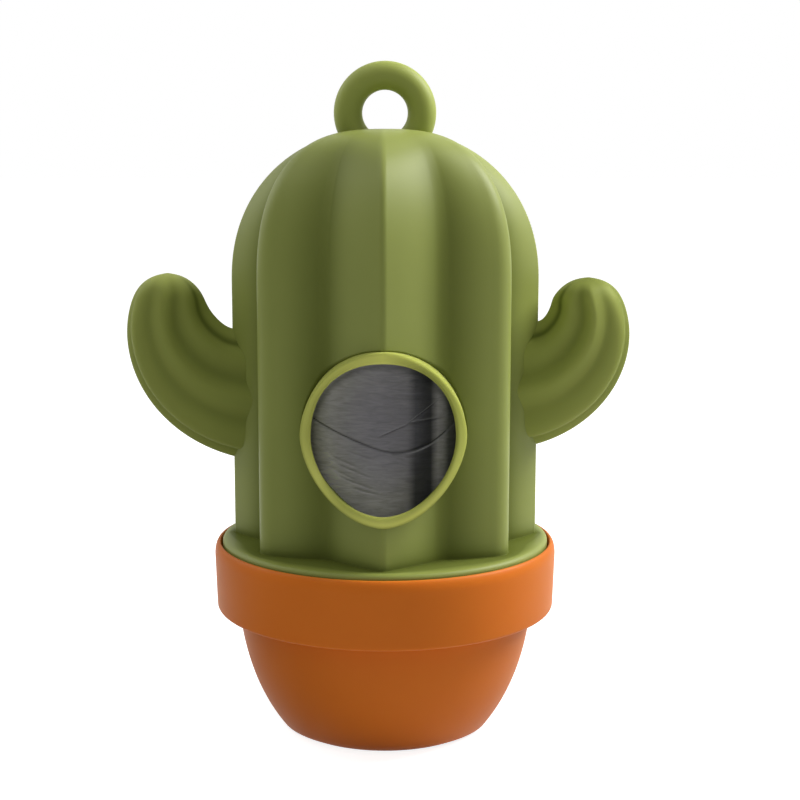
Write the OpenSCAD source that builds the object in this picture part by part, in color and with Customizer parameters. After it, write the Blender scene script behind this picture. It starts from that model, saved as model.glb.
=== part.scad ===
// Dog poop bag dispenser: a ribbed cactus shell that plugs into a flower pot.
// A roll of bags stands on the pot's floor and the bags come out of the front window.
// Millimetres, +Z up, origin at the centre of the pot's base, front towards -Y.

/* [Cactus] */
// Radius of the cactus at the crests of its ribs
body_r = 24.35; // [22.5:0.05:34]
// Azimuth of the second rib, counted from the front rib
rib2_azimuth = 52.5; // [46:0.5:60]
// Distance from a rib's crest at which its rounding starts
crest_round = 1.1; // [0.6:0.1:2]
// Length of the straight part of the ribs, above the flange
straight_h = 40.4; // [36:0.2:60]
// Height of the dome above the straight part
dome_h = 23.5; // [18:0.5:30]
// Thinnest wall of the shell, at the valleys
shell_wall = 2.0; // [1.6:0.1:3]
// Thickness of the dome at its top, where the hanging loop is anchored
crown_wall = 3.8; // [3.4:0.1:6]
// Height of the domed top of the chamber
chamber_dome_h = 15; // [10:0.5:18]

/* [Flange and neck] */
// Radius of the flange that closes the pot
flange_r = 25.9; // [25.5:0.1:40]
// Thickness of the flange
flange_t = 2; // [1.5:0.1:3]
// How far the flange stands above the pot's rim
flange_proud = 0.7; // [0.2:0.1:1.2]
// Length of the neck that plugs into the pot
neck_h = 7.4; // [5:0.2:8]
// Wall of the neck
neck_wall = 2.7; // [2:0.1:3.5]
// Width of the pot's ledge that the flange rests on
ledge_w = 2; // [1.5:0.1:3]
// Gap around the neck and around the flange
plug_clearance = 0.3; // [0.2:0.05:0.6]
// How far the two sealing beads stand out of the neck
bead_lift = 0.2; // [0.1:0.02:0.2]

/* [Pot] */
// Height of the pot
pot_h = 30.2; // [28:0.2:40]
// Height of the collar around the pot's mouth
collar_h = 10.6; // [10:0.2:14]
// Thickness of the rim around the flange
rim_wall = 0.95; // [0.8:0.05:2.5]
// How much the collar narrows towards its lower edge
collar_taper = 0.6; // [0:0.1:1]
// Step from the collar's lower edge in to the bowl
collar_step = 3.1; // [2:0.1:3.2]
// Radius of the base that the pot stands on
base_r = 16.2; // [14:0.2:18]
// Wall of the bowl
bowl_wall = 2.4; // [2:0.1:2.8]
// Thickness of the pot's floor
floor_t = 4.5; // [4.4:0.1:6]
// Height of the recess in the floor that centres the roll
recess_h = 1.5; // [1:0.1:2]
// Gap around the roll in the recess
recess_gap = 0.5; // [0.3:0.1:0.8]
// Gap below the end of the neck
neck_end_gap = 0.5; // [0.3:0.1:1]

/* [Window] */
// Height of the window's centre above the flange
window_rise = 19.4; // [18.6:0.2:24]
// Half width of the window
window_half_w = 10.6; // [8:0.1:10.8]
// Height of the window above its centre
window_up = 11.3; // [8:0.1:13]
// Depth of the window below its centre
window_down = 11.1; // [8:0.1:13]
// Power of the window's upper half, where 2 is an ellipse and more is fuller
window_power = 2.15; // [2:0.05:2.6]
// Power of the window's lower half, where less than 2 is leaner
window_low_power = 1.85; // [1.7:0.05:2.2]
// Width of the ring around the window
ring_band = 1.7; // [1.4:0.1:2.4]
// How far the ring stands out of the shell
ring_lift = 0.7; // [0.4:0.1:1.2]
// Depth of the ring's seat in the shell
ring_seat = 1.1; // [0.8:0.1:1.4]
// Power of the upper half of the ring's outline
ring_power = 1.85; // [1.7:0.05:2]
// Power of the lower half of the ring's outline
ring_low_power = 1.75; // [1.6:0.05:2]
// Radius of the ring's bowed front
ring_bow_r = 18; // [16:0.5:24]
// Wall left behind the ring's seat at the front rib
pocket_wall = 1.2; // [1:0.1:1.6]
// How far the front rib is hollow above and below the window
pocket_rise = 1.5; // [1:0.1:2]

/* [Arms] */
// Height above the flange of the centre that the left arm bends about
left_bend_rise = 38.1; // [34:0.1:39]
// Radius of the left arm's inner edge at its root
left_inner_root = 4.75; // [3:0.05:6]
// Radius that the left arm's inner edge is pulled towards between its ends
left_inner_pull = 2.75; // [1:0.05:6]
// Radius of the left arm's inner edge at its tip
left_inner_tip = 4.1; // [2:0.05:6]
// Radius of the left arm's outer edge at its root
left_outer_root = 25.8; // [20:0.05:28]
// Radius of the left arm's outer edge at its tip
left_outer_tip = 15.4; // [12:0.05:20]
// Height of the left arm's rounded tip
left_cap_h = 3.5; // [2.5:0.1:6]
// Height above the flange of the centre that the right arm bends about
right_bend_rise = 38; // [34:0.1:39]
// Radius of the right arm's inner edge at its root
right_inner_root = 3.5; // [3:0.05:6]
// Radius that the right arm's inner edge is pulled towards between its ends
right_inner_pull = 1; // [1:0.05:6]
// Radius of the right arm's inner edge at its tip
right_inner_tip = 1.95; // [1.5:0.05:6]
// Radius of the right arm's outer edge at its root
right_outer_root = 23.75; // [20:0.05:28]
// Radius of the right arm's outer edge at its tip
right_outer_tip = 12.9; // [12:0.05:20]
// Height of the right arm's rounded tip
right_cap_h = 3; // [2.5:0.1:6]
// Half thickness of both arms at their tips
arm_tip_t = 5.4; // [4:0.1:6]
// Half thickness of both arms at their roots
arm_root_t = 4.4; // [3:0.1:4.6]
// Azimuth of an arm's crest near its outer edge, in degrees from that edge
arm_outer_crest = 38; // [34:1:44]
// Azimuth of an arm's middle crest, in degrees
arm_middle_crest = 91; // [86:1:96]
// Azimuth of an arm's crest near its inner edge, in degrees
arm_inner_crest = 130; // [126:1:140]
// Reach of the crests near the edges, with 1 for the middle crest
arm_side_reach = 0.97; // [0.94:0.01:1.1]
// Reach of the grooves beside the middle crest
arm_groove_share = 0.75; // [0.7:0.01:0.85]
// Reach of the grooves next to the edges
arm_edge_groove = 0.85; // [0.8:0.01:0.92]
// Distance from a corner over which an arm's crests and grooves are rounded
arm_rib_round = 0.1; // [0.04:0.01:0.12]
// Radius of the peg that holds an arm in the shell
peg_r = 2.6; // [2:0.1:3]
// Length of the peg, from the rib's crest inwards
peg_len = 4.6; // [3:0.1:4.8]

/* [Hanging loop] */
// Radius of the loop's centre line
loop_r = 5.7; // [5:0.1:9]
// Radius of the loop's round section
loop_wire_r = 2.2; // [1.6:0.1:2.6]
// Height of the loop's centre above the top of the dome
loop_rise = 2.4; // [1.5:0.1:3]
// Depth of the loop's feet below the top of the dome
loop_sink = 2; // [1.5:0.1:2.6]

/* [Bag roll] */
// Number of bags on the roll
bag_count = 15; // [15]
// Width of the wound film, which is the length of the roll
roll_h = 60; // [50:1:62]
// Outer radius of the cardboard core
core_r = 8.5; // [7.5:0.1:9]
// Wall of the cardboard core
core_wall = 1.3; // [0.8:0.1:1.6]
// Length of one bag
bag_len = 330; // [260:5:340]
// Thickness of one turn of the folded film
turn_t = 0.127; // [0.09:0.001:0.128]
// Gap between the outer turn and the chamber's wall
roll_clearance = 0.98; // [0.5:0.01:1.5]

/* [Hidden] */
$fn = 96;

cactus_green = "#6f8140";
ring_green = "#a6b052";
terracotta = "#b5642d";
card_brown = "#b08d62";
film_grey = "#3d3c3f";

// Heights worked out from the driving dimensions
flange_top = pot_h + flange_proud;
flange_z = flange_top - flange_t;
neck_z = flange_z - neck_h;
straight_top = flange_top + straight_h;
dome_top = straight_top + dome_h;
cavity_top = dome_top - crown_wall;
window_z = flange_top + window_rise;
loop_z = dome_top + loop_rise;
collar_z = pot_h - collar_h;
left_root_z = flange_top + left_bend_rise - (left_inner_root + left_outer_root) / 2;
right_root_z = flange_top + right_bend_rise - (right_inner_root + right_outer_root) / 2;

// Radii worked out from the driving dimensions: the chamber clears the full roll, and the
// valleys of the ribs leave the shell's wall around the chamber
roll_r = sqrt(core_r * core_r + bag_count * bag_len * turn_t / PI);
cavity_r = roll_r + roll_clearance;
valley_share = (cavity_r + shell_wall) / body_r;
recess_r = roll_r + recess_gap;
mouth_r = flange_r + plug_clearance;
rim_r = mouth_r + rim_wall;
bore_r = flange_r - ledge_w;
neck_r = bore_r - plug_clearance;
collar_foot_r = rim_r - collar_taper;
bowl_r = collar_foot_r - collar_step;

// Dome: the crests follow a superellipse that is rounder on the two side ribs
dome_power = 2.84;
side_power = 2.12;
side_sharpness = 8;
valley_fade = 8;
dome_rings = 14;
corner_steps = 3;
cavity_power = 2.4;
overlap = 1;

// Azimuths of the ribs, from the front towards +X and round the back
rib_az = [
    0, rib2_azimuth, 90, 180 - rib2_azimuth,
    180, 180 + rib2_azimuth, 270, 360 - rib2_azimuth
];
rib_n = len(rib_az);
function valley_az(i) = (rib_az[i] + (i == rib_n - 1 ? 360 : rib_az[i + 1])) / 2;
function polar(r, az) = [r * sin(az), -r * cos(az)];
function unit(v) = v / norm(v);
function superellipse(t, power) = pow(max(0, 1 - pow(t, power)), 1 / power);

// Points of a corner p, between its neighbours a and b, rounded from a distance q on either side
function rounded_corner(a, p, b, q) =
    let (start = p + unit(a - p) * q, end = p + unit(b - p) * q)
    [for (k = [0:corner_steps])
        let (s = k / corner_steps)
        start * (1 - s) * (1 - s) + p * 2 * s * (1 - s) + end * s * s];

// Share of its straight radius that a rib keeps at height t of the dome, with t from 0 to 1
function dome_share(az, t) =
    superellipse(t, dome_power - (dome_power - side_power) * pow(abs(sin(az)), side_sharpness));
function valley_at(t) = valley_share + (1 - valley_share) * pow(t, valley_fade);

// Crests and valleys of the ribbed outline, in turn, at height t of the dome
function rib_corners(r, t) = [
    for (i = [0:rib_n - 1]) each [
        polar(r * dome_share(rib_az[i], t), rib_az[i]),
        polar(r * dome_share(valley_az(i), t) * valley_at(t), valley_az(i))
    ]
];
// The same outline with every corner rounded
function rib_outline(r, t = 0) =
    let (
        corners = rib_corners(r, t),
        n = len(corners),
        q = crest_round * dome_share(0, t) * r / body_r
    )
    [for (i = [0:n - 1]) each rounded_corner(
        corners[(i + n - 1) % n], corners[i], corners[(i + 1) % n], q)];

// Section of an arm, one unit in reach: crests and grooves in turn, from its outer edge
// over one face to its inner edge, and back in mirror image over the other face
function arm_outline() =
    let (
        crests = [0, arm_outer_crest, arm_middle_crest, arm_inner_crest, 180],
        crest_reach = [1, arm_side_reach, 1, arm_side_reach, 1],
        groove_reach = [arm_edge_groove, arm_groove_share, arm_groove_share, arm_edge_groove],
        front = [for (i = [0:3]) each [
            [crest_reach[i], crests[i]],
            [groove_reach[i], (crests[i] + crests[i + 1]) / 2]
        ]],
        back = [for (i = [7:-1:1]) [front[i][0], 360 - front[i][1]]],
        corners = [for (c = [each front, [1, 180], each back]) polar(c[0], 90 + c[1])],
        n = len(corners)
    )
    [for (i = [0:n - 1]) each rounded_corner(
        corners[(i + n - 1) % n], corners[i], corners[(i + 1) % n], arm_rib_round)];

// Closed skin over rings of points, with an end cap at the start and a point at the end
module skin(rings, tip) {
    n = len(rings[0]);
    last = len(rings) - 1;
    points = [for (ring = rings) each ring, tip];
    faces = [
        [for (i = [0:n - 1]) i],
        for (j = [0:last - 1], i = [0:n - 1]) each [
            [j * n + i, (j + 1) * n + (i + 1) % n, j * n + (i + 1) % n],
            [j * n + i, (j + 1) * n + i, (j + 1) * n + (i + 1) % n]
        ],
        for (i = [0:n - 1]) [last * n + i, len(points) - 1, last * n + (i + 1) % n]
    ];
    polyhedron(points, faces);
}

// Prism with the ribbed section
module rib_prism(r, z_low, z_high) {
    translate([0, 0, z_low])
        linear_extrude(z_high - z_low)
            polygon(rib_outline(r));
}

// Outside of the shell: straight ribs from the flange up, closed by the dome
module ribbed_shell() {
    foot = [for (p = rib_outline(body_r)) [p.x, p.y, flange_top - overlap]];
    rings = [
        for (j = [0:dome_rings - 1])
            let (t = sin(90 * j / dome_rings))
            [for (p = rib_outline(body_r, t)) [p.x, p.y, straight_top + dome_h * t]]
    ];
    skin([foot, each rings], [0, 0, dome_top]);
}

// Inside of the shell: a round chamber for the roll, with a domed top and a wide neck
module chamber() {
    spring_z = cavity_top - chamber_dome_h;
    cone_rise = 1;
    steps = 10;
    neck_in = neck_r - neck_wall;
    rotate_extrude()
        polygon([
            [0, neck_z - overlap],
            [neck_in, neck_z - overlap],
            [neck_in, flange_z],
            [cavity_r, flange_top + cone_rise],
            [cavity_r, spring_z],
            for (k = [1:steps - 1])
                let (t = sin(90 * k / steps))
                [cavity_r * superellipse(t, cavity_power), spring_z + (cavity_top - spring_z) * t],
            [0, cavity_top]
        ]);
}

module flange_and_neck() {
    lip = 0.6;
    bead_half_w = 0.5;
    bead_z = [neck_z + 1.8, neck_z + 4.4];
    rotate_extrude()
        polygon([
            [0, neck_z],
            [neck_r - lip, neck_z],
            [neck_r, neck_z + lip],
            for (z = bead_z) each [
                [neck_r, z - bead_half_w],
                [neck_r + bead_lift, z],
                [neck_r, z + bead_half_w]
            ],
            [neck_r, flange_z],
            [flange_r, flange_z],
            for (a = [0:15:90]) [flange_r - lip + lip * cos(a), flange_top - lip + lip * sin(a)],
            [0, flange_top]
        ]);
}

// Egg-shaped prism through the front wall: half of one oval above half of another. A
// power above 2 makes an oval's shoulders fuller and a lower one makes them leaner.
module egg(half_w, up, down, power, low_power) {
    points = 72;
    function squared(wave, p) = sign(wave) * pow(abs(wave), 2 / p);
    translate([0, 0, window_z])
        rotate([90, 0, 0])
            linear_extrude(body_r + ring_lift + overlap)
                polygon([
                    for (k = [0:points - 1])
                        let (
                            az = 360 * k / points,
                            p = az < 180 ? power : low_power,
                            reach = az < 180 ? up : down
                        )
                        [half_w * squared(cos(az), p), reach * squared(sin(az), p)]
                ]);
}

// The window's own outline and the outline of its ring
module window_egg(more = 0) {
    egg(window_half_w, window_up + more, window_down + more, window_power, window_low_power);
}
module ring_egg() {
    egg(
        window_half_w + ring_band, window_up + ring_band, window_down + ring_band,
        ring_power, ring_low_power);
}

module torus(wire_r) {
    translate([0, 0, loop_z])
        rotate([90, 0, 0])
            rotate_extrude()
                translate([loop_r, 0])
                    circle(r = wire_r, $fn = 48);
}

// Part of the hanging loop that lies above its feet
module loop_ring(wire_r) {
    span = 2 * (loop_r + wire_r + overlap);
    feet_z = dome_top - loop_sink;
    intersection() {
        torus(wire_r);
        translate([-span / 2, -span / 2, feet_z])
            cube([span, span, span]);
    }
}

// Peg of one arm: side is -1 on the left and 1 on the right
module peg(side, z, r, length) {
    translate([side * (body_r - length), 0, z])
        rotate([0, side * 90, 0])
            cylinder(r = r, h = length);
}

module cactus_body() {
    fit = 0.05;
    color(cactus_green)
        difference() {
            union() {
                ribbed_shell();
                flange_and_neck();
            }
            chamber();
            window_egg();
            difference() {
                ring_egg();
                rib_prism(body_r - ring_seat, flange_top, straight_top);
            }
            // the front rib is hollow behind the window
            intersection() {
                window_egg(pocket_rise);
                rib_prism(body_r - ring_seat - pocket_wall, flange_top, straight_top);
            }
            peg(-1, left_root_z, peg_r + fit, peg_len);
            peg(1, right_root_z, peg_r + fit, peg_len);
            loop_ring(loop_wire_r + fit);
        }
}

// The ring's front is bowed round an upright axis, so it stands proud of the valleys
module window_ring() {
    half_w = window_half_w + ring_band;
    steps = 12;
    front = [
        for (k = [-steps:steps])
            let (x = half_w * k / steps)
            [x, ring_bow_r - body_r - ring_lift - sqrt(ring_bow_r * ring_bow_r - x * x)]
    ];
    color(ring_green)
        difference() {
            intersection() {
                translate([0, 0, flange_top])
                    linear_extrude(straight_top - flange_top)
                        polygon([each front, [half_w, 0], [-half_w, 0]]);
                ring_egg();
            }
            rib_prism(body_r - ring_seat, flange_top - overlap, straight_top + overlap);
            window_egg();
        }
}

module hanging_loop() {
    color(cactus_green)
        loop_ring(loop_wire_r);
}

// An arm is its own ribbed section, swept about a centre on the side rib's crest.
// It turns from upright at the root to level at the tip, which a cap closes.
module arm(side, bend_z, inner_root, inner_pull, inner_tip, outer_root, outer_tip, cap_h) {
    bend_rings = 10;
    cap_rings = 6;
    cap_power = 1.6;
    root_run = 6;
    root_drop = 1.2;
    section = arm_outline();
    // The section between an inner and an outer radius, turned about the centre
    function place(turn, inner, outer, half_t, rise = 0, run = 0) =
        let (half = (outer - inner) / 2, middle = (outer + inner) / 2)
        [for (p = section)
            let (radius = middle + half * p.x)
            [
                side * (body_r - run + radius * sin(turn)),
                side * half_t * p.y,
                bend_z - radius * cos(turn) + rise
            ]
        ];
    bend = [
        for (j = [0:bend_rings])
            let (s = j / bend_rings)
            place(
                90 * s,
                inner_root * pow(1 - s, 2) + inner_pull * 2 * s * (1 - s) + inner_tip * s * s,
                outer_root + (outer_tip - outer_root) * s,
                arm_root_t + (arm_tip_t - arm_root_t) * s)
    ];
    middle = (inner_tip + outer_tip) / 2;
    half = (outer_tip - inner_tip) / 2;
    cap = [
        for (j = [1:cap_rings - 1])
            let (
                t = sin(90 * j / cap_rings),
                share = superellipse(t, cap_power + (2 - cap_power) * pow(t, 4))
            )
            place(90, middle - half * share, middle + half * share, arm_tip_t * share, cap_h * t)
    ];
    root = place(0, inner_root, outer_root, arm_root_t, -root_drop, root_run);
    difference() {
        skin([root, each bend, each cap], [side * (body_r + middle), 0, bend_z + cap_h]);
        rib_prism(body_r, flange_top, straight_top);
    }
    peg(side, bend_z - (inner_root + outer_root) / 2, peg_r, peg_len);
}

module left_arm() {
    color(cactus_green)
        arm(
            -1, flange_top + left_bend_rise, left_inner_root, left_inner_pull,
            left_inner_tip, left_outer_root, left_outer_tip, left_cap_h);
}

module right_arm() {
    color(cactus_green)
        arm(
            1, flange_top + right_bend_rise, right_inner_root, right_inner_pull,
            right_inner_tip, right_outer_root, right_outer_tip, right_cap_h);
}

module pot() {
    edge_w = 0.75;
    edge_h = 1.9;
    mouth_edge = 0.2;
    collar_edge = 0.5;
    foot_edge = 0.6;
    bowl_depth = collar_z / sqrt(1 - pow(base_r / bowl_r, 2));
    steps = 12;
    function bowl_radius(z) = bowl_r * sqrt(1 - pow((collar_z - z) / bowl_depth, 2));
    inner_low = floor_t + recess_h;
    inner_high = collar_z;
    color(terracotta)
        rotate_extrude()
            polygon([
                [0, 0],
                [base_r - 2 * foot_edge, 0],
                [base_r - 0.6 * foot_edge, foot_edge * 0.4],
                for (k = [1:steps]) [bowl_radius(collar_z * k / steps), collar_z * k / steps],
                [collar_foot_r - collar_edge, collar_z],
                [collar_foot_r, collar_z + collar_edge],
                for (a = [0:15:90])
                    [rim_r - edge_w + edge_w * cos(a), pot_h - edge_h + edge_h * sin(a)],
                [mouth_r, pot_h - mouth_edge],
                [mouth_r, flange_z],
                [bore_r, flange_z],
                [bore_r, neck_z - neck_end_gap],
                [bowl_radius(inner_high) - bowl_wall, inner_high],
                for (k = [1:steps])
                    let (z = inner_high + (inner_low - inner_high) * k / steps)
                    [bowl_radius(z) - bowl_wall, z],
                [recess_r, inner_low],
                [recess_r, floor_t],
                [0, floor_t]
            ]);
}

module roll_core() {
    color(card_brown)
        translate([0, 0, floor_t])
            difference() {
                cylinder(r = core_r, h = roll_h);
                translate([0, 0, -overlap])
                    cylinder(r = core_r - core_wall, h = roll_h + 2 * overlap);
            }
}

// Radius of the roll outside a number of wound bags, counted from the core
function wound_r(bags) = sqrt(core_r * core_r + bags * bag_len * turn_t / PI);

// One bag, wound into a ring of film: number 1 is outermost and comes off first
module bag(number) {
    slip = 0.02;
    outer = wound_r(bag_count + 1 - number);
    inner = wound_r(bag_count - number) + slip;
    color(film_grey)
        translate([0, 0, floor_t])
            difference() {
                cylinder(r = outer, h = roll_h);
                translate([0, 0, -overlap])
                    cylinder(r = inner, h = roll_h + 2 * overlap);
            }
}

pot();
cactus_body();
left_arm();
right_arm();
hanging_loop();
window_ring();
roll_core();
for (i = [1:bag_count])
    bag(i);
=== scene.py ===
# %% [markdown]
# # A cactus that hands out bags
# This is a dispenser for dog-waste bags, about 105 mm tall. Two silicone mouldings, a
# ribbed cactus and a flower pot, plug together around a roll of bags, and the bags come
# out of the window in front.
#
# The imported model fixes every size, so it is imported first. Each visible piece then gets
# its final surface, computed in the same frame.

# %% Load the frame
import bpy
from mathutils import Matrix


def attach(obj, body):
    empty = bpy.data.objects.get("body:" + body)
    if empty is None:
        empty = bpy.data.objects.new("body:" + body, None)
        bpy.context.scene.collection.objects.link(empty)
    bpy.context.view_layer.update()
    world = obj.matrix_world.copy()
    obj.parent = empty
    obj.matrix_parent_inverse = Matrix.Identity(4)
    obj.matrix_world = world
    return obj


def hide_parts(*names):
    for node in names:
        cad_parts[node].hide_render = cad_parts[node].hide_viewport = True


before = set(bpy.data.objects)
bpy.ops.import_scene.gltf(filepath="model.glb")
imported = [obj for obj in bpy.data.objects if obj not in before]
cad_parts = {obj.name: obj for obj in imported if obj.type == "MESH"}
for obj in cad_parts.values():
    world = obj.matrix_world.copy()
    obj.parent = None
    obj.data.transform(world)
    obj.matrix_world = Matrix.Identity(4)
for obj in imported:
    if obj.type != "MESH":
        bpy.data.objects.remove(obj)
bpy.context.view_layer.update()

# %% [markdown]
# ## Millimetres in, metres out
# The surfaces are worked out in a maker's millimetres, and one function turns them to
# Blender's metres. Every surface is a table of points: rows run along it and columns run
# round it, and the faces follow from row and column numbers.

# %% Tools for surfaces
import bmesh
import bpy
import numpy as np

MM = 0.001


def new_object(name, data):
    """An object in the scene with the given data."""
    made = bpy.data.objects.new(name, data)
    bpy.context.scene.collection.objects.link(made)
    return made


def make_piece(name, points, faces, marks=None):
    """A smooth object from points in millimetres and lists of point numbers.

    Points that no face uses are left out. The object stays at the origin. Marks are
    named values from 0 to 1 for each point, which a material can read.
    """
    used = np.zeros(len(points), bool)
    used[np.concatenate([np.ravel(face_set) for face_set in faces])] = True
    renumber = np.cumsum(used) - 1
    rows = [face for face_set in faces for face in renumber[face_set].tolist()]
    mesh = bpy.data.meshes.new(name)
    mesh.from_pydata((points[used] * MM).tolist(), [], rows)
    mesh.polygons.foreach_set("use_smooth", np.ones(len(rows), bool))
    for mark, values in (marks or {}).items():
        mesh.attributes.new(mark, "FLOAT", "POINT").data.foreach_set("value", values[used])
    mesh.update()
    piece = new_object(name, mesh)
    solid = bmesh.new()
    solid.from_mesh(mesh)
    volume = solid.calc_volume(signed=True) * 1e9
    open_edges = sum(1 for edge in solid.edges if len(edge.link_faces) != 2)
    solid.free()
    print(f"{name}: {len(rows)} faces, {volume:.0f} mm3, {open_edges} open edges")
    return piece


def quads(index):
    """Quads between each row of point numbers and the next; the columns close in a ring."""
    right = np.roll(index, -1, axis=1)
    return np.stack([index[:-1], right[:-1], right[1:], index[1:]], axis=-1)


def fan(ring, tip, from_tip=False):
    """Triangles between a ring of point numbers and one point, before or after it."""
    right = np.roll(ring, -1)
    tips = np.full_like(ring, tip)
    return np.stack([tips, right, ring] if from_tip else [ring, right, tips], axis=-1)


def closed_skin(name, rows, start, end, marks):
    """Rows of points closed at both ends by one point each, with marks of 0 at those."""
    count, width = rows.shape[:2]
    index = np.arange(count * width).reshape(count, width)
    points = np.concatenate([rows.reshape(-1, 3), [start, end]])
    faces = [
        quads(index).reshape(-1, 4),
        fan(index[0], count * width, from_tip=True),
        fan(index[-1], count * width + 1),
    ]
    marks = {mark: np.append(values, [0, 0]) for mark, values in marks.items()}
    return make_piece(name, points, faces, marks)


def closed_table(name, rows, marks=None):
    """A table of points that closes both ways, like a torus."""
    index = np.arange(rows.shape[0] * rows.shape[1]).reshape(rows.shape[:2])
    index = np.concatenate([index, index[:1]])
    return make_piece(name, rows.reshape(-1, 3), [quads(index).reshape(-1, 4)], marks)


def between(first, last, shares):
    """Rows between two rows: share 0 is the first row and share 1 the last."""
    shares = np.reshape(shares, (-1,) + (1,) * np.ndim(first))
    return first * (1 - shares) + last * shares


def smooth_step(value, low, high):
    """0 below low, 1 above high and a smooth curve 3x^2 - 2x^3 between."""
    x = np.clip((value - low) / (high - low), 0, 1)
    return x * x * (3 - 2 * x)


def bell(away, width):
    """1 at no distance, falling with it as exp(-(away/width)^2)."""
    return np.exp(-((away / width) ** 2))


print("surface tools ready")

# %% [markdown]
# ## The camera
# The dispenser is seen from a quarter of a metre and a little from above. The sideways
# shift puts the cactus left of the middle of the picture.

# %% Camera
CAMERA_DISTANCE = 0.25655
CAMERA_HEIGHT = 0.0946
CAMERA_AZIMUTH = 0.7
CAMERA_PITCH = 9.34
LENS_MM = 73.85
SENSOR_MM = 36
SIDEWAYS_SHIFT = 15 / 800

lens = bpy.data.cameras.new("camera")
lens.lens = LENS_MM
lens.sensor_width = SENSOR_MM
lens.shift_x = SIDEWAYS_SHIFT
camera = new_object("camera", lens)
turn = np.radians(CAMERA_AZIMUTH)
camera.location = (
    CAMERA_DISTANCE * np.sin(turn), -CAMERA_DISTANCE * np.cos(turn), CAMERA_HEIGHT)
camera.rotation_euler = (np.radians(90 - CAMERA_PITCH), 0, turn)
bpy.context.scene.camera = camera
bpy.context.scene.view_settings.view_transform = "Standard"
print("camera at", tuple(round(v, 4) for v in camera.location), "lens", LENS_MM, "mm")

# %% [markdown]
# ## The ribbed section
# The cactus has eight ribs. Seen from above, its outline goes from crest to valley and
# back, with flat facets between and soft corners. The ribs close over the top in a dome:
# the crests follow a superellipse, a rounded square, and the valleys fade out.
#
# The outline could be drawn as a curve and swept, but a formula gives every row the same
# columns, so that a crest stays one clean line of points from foot to top.

# %% The ribs
BODY_R = 24.35
CHAMBER_R = 17.48
VALLEY_SHARE = 0.80
CREST_AZIMUTHS = np.array([-180, -127.5, -90, -52.5, 0, 52.5, 90, 127.5])
VALLEY_AZIMUTHS = (CREST_AZIMUTHS + np.append(CREST_AZIMUTHS[1:], 180)) / 2
CORNERS = np.radians(np.stack([CREST_AZIMUTHS, VALLEY_AZIMUTHS], axis=1).ravel())
IS_CREST = np.tile([1, 0], len(CREST_AZIMUTHS))
SHARP_CRESTS = CREST_AZIMUTHS % 90 == 0
CORNER_ROUND = np.full(len(CORNERS), 1.1)
CORNER_ROUND[::2] = np.where(SHARP_CRESTS, 0.9, 3.3)
CORNER_POINTS = 9
FACET_POINTS = 12
FACET_BULGE = 0.2
DOME_POWER = 2.84
SIDE_POWER = 2.16
SIDE_SHARPNESS = 8
VALLEY_FADE = 8


def superellipse(t, power):
    """What is left of 1 at height t of a curve with t to the power plus r to the power = 1."""
    return np.maximum(1 - np.abs(t) ** power, 0) ** (1 / power)


def soft_corners(corners, rounding):
    """Curves that cut the corners of outlines, and the points where they start and end.

    A curve starts one rounding before its corner and ends one rounding after it:
    start (1-s)^2 + corner 2s(1-s) + end s^2.
    """
    rounding = rounding[..., None]
    before = np.roll(corners, 1, axis=-2) - corners
    after = np.roll(corners, -1, axis=-2) - corners
    start = corners + before / np.linalg.norm(before, axis=-1)[..., None] * rounding
    end = corners + after / np.linalg.norm(after, axis=-1)[..., None] * rounding
    s = np.linspace(0, 1, CORNER_POINTS)[:, None]
    curve = (
        start[..., None, :] * (1 - s) ** 2
        + corners[..., None, :] * 2 * s * (1 - s)
        + end[..., None, :] * s**2
    )
    return start, curve, end


def ribs(radius, t=0.0, facet_n=FACET_POINTS):
    """Ribbed outlines, one row for each height t of the dome, as points (x, y).

    A corner at azimuth a is at (r sin a, -r cos a). Its radius is the crest radius times
    the superellipse of t, and times the valley share in a valley. Facets join the soft
    corners, each bulged out along its normal by 4f(1-f) times a fifth of a millimetre.
    """
    t = np.atleast_1d(np.asarray(t, float))[:, None]
    power = DOME_POWER - (DOME_POWER - SIDE_POWER) * np.abs(np.sin(CORNERS)) ** SIDE_SHARPNESS
    valley = VALLEY_SHARE + (1 - VALLEY_SHARE) * t**VALLEY_FADE
    reach = radius * superellipse(t, power) * np.where(IS_CREST, 1, valley)
    corner = reach[..., None] * np.stack([np.sin(CORNERS), -np.cos(CORNERS)], axis=-1)
    rounding = CORNER_ROUND * superellipse(t, DOME_POWER)
    start, curve, end = soft_corners(corner, rounding)
    f = np.linspace(0, 1, facet_n + 2)[1:-1, None]
    facet_end = np.roll(start, -1, axis=1)
    run = facet_end - end
    normal = np.stack([run[..., 1], -run[..., 0]], axis=-1)
    normal = normal / np.linalg.norm(run, axis=-1)[..., None]
    bulge = FACET_BULGE * superellipse(t, DOME_POWER)[..., None, None] * 4 * f * (1 - f)
    facet = end[:, :, None] * (1 - f) + facet_end[:, :, None] * f + normal[:, :, None] * bulge
    return np.concatenate([curve, facet], axis=2).reshape(len(t), -1, 2)


RIB_FOOT = ribs(BODY_R)[0]
RIB_WAYS = RIB_FOOT / np.linalg.norm(RIB_FOOT, axis=1)[:, None]
COLUMNS = len(RIB_FOOT)
print("columns round the cactus:", COLUMNS)

# %% [markdown]
# ## The shell of the cactus
# The real cactus is one hollow silicone moulding: the ribbed body, the flange that covers
# the pot, and a neck with two sealing beads that grip the pot's bore. Inside is a plain
# round chamber, a millimetre wider than the roll.
#
# One table of points covers it all. Its rows run down the inside of the chamber, turn
# round the end of the neck, and climb the outside to the top of the dome, so the wall has
# its true thickness everywhere.

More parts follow.
